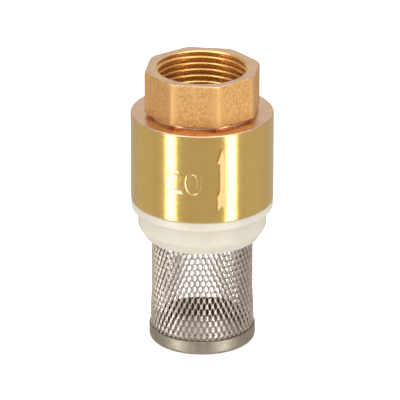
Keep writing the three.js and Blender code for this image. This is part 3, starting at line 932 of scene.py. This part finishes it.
def make_nut():
    """A hexagon nut with its corners turned off on both faces."""
    flats = (NUT_HIGH.x - NUT_LOW.x) / 2
    low, high = NUT_LOW.z, NUT_HIGH.z
    bm = bmesh.new()
    corner_r = flats / math.cos(math.pi / 6)
    across_y = NUT_HIGH.y > NUT_HIGH.x
    first = math.pi / 2 if across_y else 0
    corners = [first + math.pi / 3 * i for i in range(6)]
    rings = []
    for z in (low, high):
        rings.append([bm.verts.new((corner_r * math.cos(a), corner_r * math.sin(a), z)) for a in corners])
    join_rings(bm, *rings)
    for ring in rings:
        bm.faces.new(ring)
    nut = add_object("steel_nut", bm, [BAR_STEEL], smooth=False)
    slope = 0.5
    face_r = flats * 0.97
    cone_r = corner_r + 0.4
    drop = (cone_r - face_r) * slope
    blank = [
        (0, low),
        (face_r, low),
        (cone_r, low + drop),
        (cone_r, high - drop),
        (face_r, high),
        (0, high),
    ]
    cut(nut, [turned("blank", blank, BAR_STEEL, closed=False)], "INTERSECT")
    bore_r = CLAMPED_BORE_R
    bore = [(0, low - 1), (bore_r, low - 1), (bore_r, high + 1), (0, high + 1)]
    cut(nut, [turned("bore", bore, BAR_STEEL, closed=False)])
    nut.data.materials.clear()
    nut.data.materials.append(BAR_STEEL)
    nut.data.shade_smooth()
    nut.data.set_sharp_from_angle(angle=math.radians(20))
    return stand_for(nut, "stem_nut", "poppet")


SPRING_TURNS = 6


def make_spring():
    """A fine coil, whose first and last turns lie flat."""
    wire_r = 0.38
    coil_r = 5.1
    bottom, top = SPRING_LOW.z + wire_r, SPRING_HIGH.z - wire_r
    dead = 2 * wire_r
    open_rise = top - bottom - 2 * dead
    steps = SPRING_TURNS * 48
    section = [2 * math.pi * i / 12 for i in range(12)]
    bm = bmesh.new()
    rings = []
    for i in range(steps + 1):
        turns = SPRING_TURNS * i / steps
        lying = min(turns, 1) + max(turns - SPRING_TURNS + 1, 0)
        climbing = min(max((turns - 1) / (SPRING_TURNS - 2), 0), 1)
        z = bottom + dead * lying + open_rise * climbing
        a = 2 * math.pi * turns
        ring = []
        for t in section:
            r = coil_r + wire_r * math.cos(t)
            ring.append(bm.verts.new((r * math.cos(a), r * math.sin(a), z + wire_r * math.sin(t))))
        rings.append(ring)
    for low, high in zip(rings, rings[1:]):
        join_rings(bm, low, high)
    bm.faces.new(rings[0])
    bm.faces.new(rings[-1])
    spring = add_object("steel_spring", bm, [WIRE_STEEL])
    stand_for(spring, "return_spring", "housing")
    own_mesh(spring)
    return spring


# ---------------------------------------------------------------- strainer

DIAMONDS_AROUND = 54
DIAMOND_HEIGHT = 3.48  # from one diamond to the next straight above it
HOLE_HALF_HEIGHT = 1.06
HOLE_HALF_WIDTH = 0.315  # as a share of the distance from one diamond to the next round the sleeve
STRAND_LEAN = (0.25, 0.42)  # half of how far a strand leans out of the sheet: beside the hoops, between them
EXPANDED_THICKNESS = 0.18
LEANING_BOTTOM, LEANING_TOP = 9.5, 29.5  # heights between which the strands lean further
LEAN_FADE = 2  # distance over which that starts and ends


def sleeve_radius(z):
    """The sleeve opens towards the cup, and is pressed in a little where it enters the cup."""
    share = min(max((16 - z) / 8, 0), 1)
    opened = 0.3 * share * share * (3 - 2 * share)
    pressed = 0.1 if z < CUP_RIM + 0.5 else 0
    return MESH_R + opened - pressed


def strand_lean(z):
    """The strands lie flatter beside the two hoops."""
    beside, between = STRAND_LEAN
    clear = min(max(min(z - LEANING_BOTTOM, LEANING_TOP - z) / LEAN_FADE, 0), 1)
    return beside + (between - beside) * clear


def make_strainer_mesh():
    """Expanded metal: slit and stretched sheet, so its strands lie at a slant and join in staggered rows."""
    step = DIAMOND_HEIGHT / 2
    rows = math.ceil((MESH_HIGH.z - MESH_LOW.z) / step) + 3
    first_z = MESH_LOW.z - 1.2 * step
    bond = step - HOLE_HALF_HEIGHT
    # A hole's outline: share of the half width, height from its middle, how far its edge leans out
    outline = [
        (0.0, HOLE_HALF_HEIGHT, -1.0),
        (0.75, bond, -0.7),
        (1.0, 0.0, 0.3),
        (0.75, -bond, 1.0),
        (0.0, -HOLE_HALF_HEIGHT, 1.0),
        (-0.75, -bond, 0.7),
        (-1.0, 0.0, -0.3),
        (-0.75, bond, -1.0),
    ]
    bm = bmesh.new()
    outer, inner = {}, {}
    for row in range(rows):
        for i in range(DIAMONDS_AROUND):
            for k, (across, up, lean) in enumerate(outline):
                share = i + (row % 2) / 2 + across * HOLE_HALF_WIDTH
                a = 2 * math.pi * share / DIAMONDS_AROUND
                z = first_z + row * step + up
                r = sleeve_radius(z) - strand_lean(z) * (1 - lean)
                for layer, depth in ((outer, 0), (inner, EXPANDED_THICKNESS)):
                    side_r = r - depth
                    layer[row, i, k] = bm.verts.new((side_r * math.sin(a), -side_r * math.cos(a), z))

    def both(*keys):
        """The same face on the outer and the inner side of the sheet."""
        bm.faces.new([outer[k] for k in keys])
        bm.faces.new([inner[k] for k in reversed(keys)])

    for row in range(1, rows - 1):
        for i in range(DIAMONDS_AROUND):
            right = (i + 1) % DIAMONDS_AROUND
            between = (i + row % 2) % DIAMONDS_AROUND
            top_tip = (row + 1, between, 4)
            low_tip = (row - 1, between, 0)
            both((row, i, 3), (row, i, 2), (row, i, 1), top_tip, low_tip)
            both(low_tip, top_tip, (row, right, 7), (row, right, 6), (row, right, 5))
            both((row, i, 1), (row, i, 0), (row + 1, between, 5), top_tip)
            both(top_tip, (row + 1, between, 3), (row, right, 0), (row, right, 7))
    for row in range(1, rows - 1):
        for i in range(DIAMONDS_AROUND):
            for k in range(8):
                n = (k + 1) % 8
                bm.faces.new((outer[row, i, k], outer[row, i, n], inner[row, i, n], inner[row, i, k]))
    trim_sleeve(bm)
    sleeve = add_object("steel_sleeve", bm, [MESH_STEEL])
    return stand_for(sleeve, "strainer_mesh", "housing")


def trim_sleeve(bm):
    """Cuts the sleeve level at both ends, and closes the cut strands."""
    for z, upwards in ((MESH_LOW.z + 0.1, -1), (MESH_HIGH.z - 0.05, 1)):
        geometry = bm.verts[:] + bm.edges[:] + bm.faces[:]
        bmesh.ops.bisect_plane(
            bm, geom=geometry, plane_co=(0, 0, z), plane_no=(0, 0, upwards), clear_outer=True, dist=1e-5
        )
        rim = [e for e in bm.edges if e.is_boundary and all(abs(v.co.z - z) < 1e-4 for v in e.verts)]
        bmesh.ops.edgeloop_fill(bm, edges=rim)
    loose = [v for v in bm.verts if not v.link_faces]
    bmesh.ops.delete(bm, geom=loose, context="VERTS")


def make_cup():
    points = [
        (0, 0.12),
        (CUP_R - 2.6, 0.0, 4.0),
        (CUP_R, 0.0, 1.2),
        (CUP_R, CUP_RIM, 0.2),
        (CUP_R - SHEET, CUP_RIM, 0.2),
        (CUP_R - SHEET, SHEET, 0.8),
        (0, SHEET + 0.1),
    ]
    cup = turned("steel_cup", points, CUP_STEEL, closed=False, steps=8)
    # painted light: the cup's inside gets the pale steel, lighter than the outside of the same sheet
    cup.data.materials.append(STEEL_PAINTED_LIGHT)
    for polygon in cup.data.polygons:
        centre = polygon.center / MM
        if math.hypot(centre.x, centre.y) < CUP_R - SHEET + 0.05 and centre.z > SHEET - 0.1:
            polygon.material_index = 1
    return stand_for(cup, "strainer_cup", "housing")


def make_hoop(name, node, points):
    """A rolled strip with painted shade: its inside and its ends are a dark steel that stands for the shade
    inside the strainer, and its outside is the pale painted-light steel.
    """
    hoop = turned(name, points, STEEL_PAINTED_LIGHT)
    hoop.data.materials.append(STEEL_PAINTED_SHADE)
    for polygon in hoop.data.polygons:
        centre = polygon.center
        inwards = centre.x * polygon.normal.x + centre.y * polygon.normal.y < 0
        # painted shade on the faces that look inwards, up or down
        polygon.material_index = 1 if inwards or abs(polygon.normal.z) > 0.5 else 0
    return stand_for(hoop, node, "housing")


def make_hoops():
    hoop_low, hoop_high = cad_box("lower_hoop")
    r = hoop_high.x
    lower = [
        (r - SHEET, hoop_low.z, 0.1),
        (r, hoop_low.z, 0.1),
        (r, hoop_high.z, 0.18),
        (r - SHEET, hoop_high.z, 0.18),
    ]
    make_hoop("steel_lower_hoop", "lower_hoop", lower)
    low, high = cad_box("upper_hoop")
    under = MESH_HIGH.z + 0.05
    upper = [
        (r - SHEET, low.z, 0.15),
        (r, low.z, 0.15),
        (r, under),
        (high.x, under, 0.05),
        (high.x, high.z, 0.1),
        (r - SHEET, high.z, 0.2),
    ]
    make_hoop("steel_upper_hoop", "upper_hoop", upper)


# ---------------------------------------------------------------- assembly

make_body()
make_collar()
make_o_ring("rubber_collar_ring", "collar_o_ring")
make_o_ring("rubber_seat_ring", "seat_o_ring")
make_seat_ring()
make_guide_spider()
make_poppet()
make_nut()
make_spring()
make_strainer_mesh()
make_cup()
make_hoops()

# ---------------------------------------------------------------- camera

CAMERA_AZIMUTH = math.radians(7.8)
CAMERA_ELEVATION = math.radians(22.75)
CAMERA_DISTANCE = 1.2225
CAMERA_LENS = 396.9
SIDEWAYS = 0.00061  # the object stands this far right of the picture's middle, and this far below it
DOWNWARDS = 0.00055


def make_camera():
    low, high = CAD_BOX
    a, e = CAMERA_AZIMUTH, CAMERA_ELEVATION
    back = Vector((math.sin(a) * math.cos(e), -math.cos(a) * math.cos(e), math.sin(e)))
    right = Vector((math.cos(a), math.sin(a), 0))
    up = back.cross(right)
    aim = Vector((0, 0, (low.z + high.z) / 2)) - right * SIDEWAYS + up * DOWNWARDS
    data = bpy.data.cameras.new("camera")
    data.lens = CAMERA_LENS
    data.clip_start, data.clip_end = 0.05, 20
    camera = bpy.data.objects.new("camera", data)
    camera.location = aim + back * CAMERA_DISTANCE
    camera.rotation_mode = "QUATERNION"
    camera.rotation_quaternion = (-back).to_track_quat("-Z", "Y")
    bpy.context.scene.collection.objects.link(camera)
    bpy.context.scene.camera = camera


# ---------------------------------------------------------------- light and floor


def softbox(name, azimuth, elevation, distance, width, height, power):
    """A rectangular light that faces the object. Azimuth is counted from the front towards +X, in degrees."""
    a, e = math.radians(azimuth), math.radians(elevation)
    out = Vector((math.sin(a) * math.cos(e), -math.cos(a) * math.cos(e), math.sin(e)))
    data = bpy.data.lights.new(name, "AREA")
    data.shape = "RECTANGLE"
    data.size, data.size_y = width, height
    data.energy = power
    light = bpy.data.objects.new(name, data)
    light.location = Vector((0, 0, 0.04)) + out * distance
    light.rotation_mode = "QUATERNION"
    light.rotation_quaternion = (-out).to_track_quat("-Z", "Y")
    bpy.context.scene.collection.objects.link(light)
    return light


def make_lights():
    for name, azimuth in (("left", -43.5), ("right", 54.5)):
        softbox(f"low_{name}", azimuth, -24, 0.6, 0.155, 0.38, 0.9)
        softbox(f"high_{name}", azimuth, 32, 0.6, 0.155, 0.92, 1.1)
    softbox("side_left", -99, 0, 0.6, 0.45, 1.2, 0.08)
    softbox("side_right", 101, 0, 0.6, 0.45, 1.2, 0.08)
    softbox("rear", 188, 24, 0.7, 0.9, 0.5, 0.3)
    softbox("top", 0, 88, 0.8, 1.1, 1.1, 4.6)
    softbox("under", 0, -68, 0.6, 0.5, 0.5, 0.3)
    world = bpy.data.worlds.new("studio")
    world.use_nodes = True
    background = world.node_tree.nodes["Background"]
    background.inputs["Color"].default_value = (0.53, 0.52, 0.51, 1)
    background.inputs["Strength"].default_value = 1.0
    bpy.context.scene.world = world


def make_floor():
    """A pale table top. Glossy surfaces look past it, as they would on a light table."""
    bm = bmesh.new()
    bmesh.ops.create_grid(bm, x_segments=8, y_segments=8, size=4000)
    floor = add_object("floor", bm, [])
    floor.location.z = -0.00005
    s = Shader("floor_white", (0.9, 0.9, 0.9), 0, 0.9)
    s.set("Emission Color", (1, 1, 1, 1))
    s.set("Emission Strength", 0.6)
    s.set("Specular IOR Level", 0.0)
    floor.data.materials.append(s.material)
    floor.visible_glossy = False
    floor.visible_diffuse = False
    floor.visible_shadow = False


make_camera()
make_lights()
make_floor()
bpy.context.scene.view_settings.view_transform = "Standard"
bpy.context.scene.cycles.use_denoising = True
